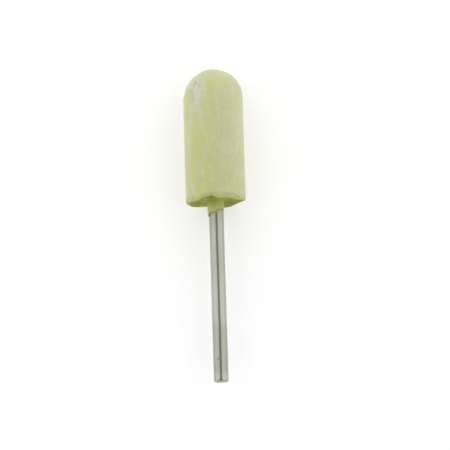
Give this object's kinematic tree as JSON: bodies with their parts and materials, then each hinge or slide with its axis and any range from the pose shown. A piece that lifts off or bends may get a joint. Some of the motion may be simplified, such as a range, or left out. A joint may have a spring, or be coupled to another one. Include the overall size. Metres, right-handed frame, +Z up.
{
  "type": "rotary polishing point",
  "caption": "Round-ended cylindrical polishing point of pale green moulded abrasive rubber on a plain straight steel shank for a rotary handpiece.",
  "frame": {"origin": "centre of the flat end face of the shank, on the turning axis", "axes": "+Y along the turning axis from the shank's free end towards the domed tip; +Z up; the point lies on the side of its head on a plane one head radius below the axis"},
  "size_m": [0.0096, 0.0507, 0.0096],
  "materials": {
    "polishing_head": "matt moulded rubber filled with abrasive, pale green with a chalky bloom",
    "steel_shank": "centreless ground steel"
  },
  "bodies": {
    "root": {"polishing_head": "polishing_head", "steel_shank": "steel_shank"}
  },
  "joints": []
}
